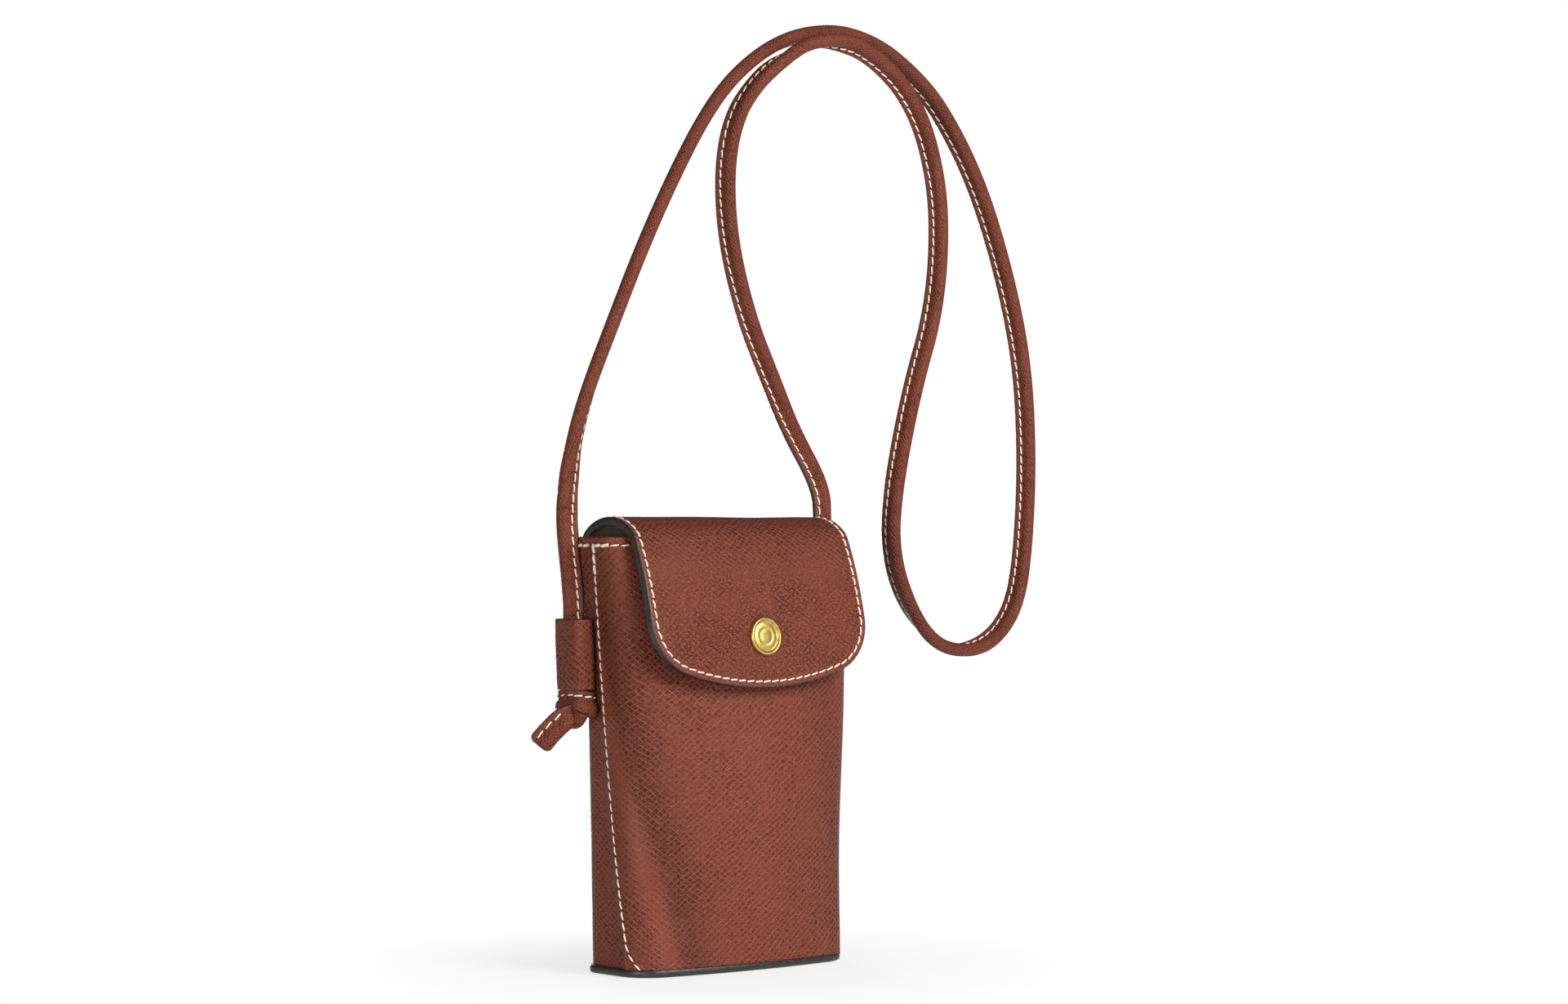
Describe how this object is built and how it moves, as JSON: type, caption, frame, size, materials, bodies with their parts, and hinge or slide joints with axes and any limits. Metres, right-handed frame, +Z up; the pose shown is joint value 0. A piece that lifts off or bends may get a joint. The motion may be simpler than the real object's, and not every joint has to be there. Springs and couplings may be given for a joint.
{
  "type": "phone pouch",
  "caption": "Slim upright leather pouch for a phone, with a snap-down flap over the mouth and a long lace strap knotted under keepers on both sides.",
  "frame": {"origin": "the point under the top of the strap where a peg or hook carries it", "axes": "+Z up, the pouch's front towards -Y, +X to the right seen from the front"},
  "size_m": [0.2836, 0.0837, 0.3904],
  "materials": {
    "panel_leather": "cross-grained russet leather, lightly polished",
    "lace_leather": "russet leather folded round a core and sewn along one edge",
    "sole_leather": "thick leather with dark painted edges",
    "lining": "taupe suede-like lining",
    "board": "pressed fibre stiffening board",
    "brass": "polished gold-coloured brass",
    "spring_steel": "bright wire"
  },
  "bodies": {
    "strap": {"strap_lace": "lace_leather", "lace_lead_left": "lace_leather", "lace_lead_right": "lace_leather"},
    "pouch": {"front_panel": "panel_leather", "back_panel": "panel_leather", "front_stiffener": "board", "front_lining": "lining", "back_lining": "lining", "base_sole": "sole_leather", "base_board": "board", "base_lining": "lining", "flap_yoke": "panel_leather", "snap_stud": "brass", "snap_eyelet": "brass", "keeper_left": "panel_leather", "keeper_right": "panel_leather", "lace_knot_left": "lace_leather", "lace_knot_right": "lace_leather"},
    "flap": {"flap_leather": "panel_leather", "flap_lining": "lining", "snap_cap": "brass", "snap_socket": "brass", "snap_spring": "spring_steel"}
  },
  "joints": [
    {"name": "pouch_swing", "type": "hinge", "parent": "strap", "child": "pouch", "pos_m": [-0.082, -0.0132, -0.2376], "axis": [1, 0, 0], "range_deg": [-75, 75], "deforming": ["lace_lead_left", "lace_lead_right"]},
    {"name": "flap_open", "type": "hinge", "parent": "pouch", "child": "flap", "pos_m": [-0.082, -0.0079, -0.2052], "axis": [-1, 0, 0], "range_deg": [0, 165], "deforming": ["snap_spring"]}
  ]
}
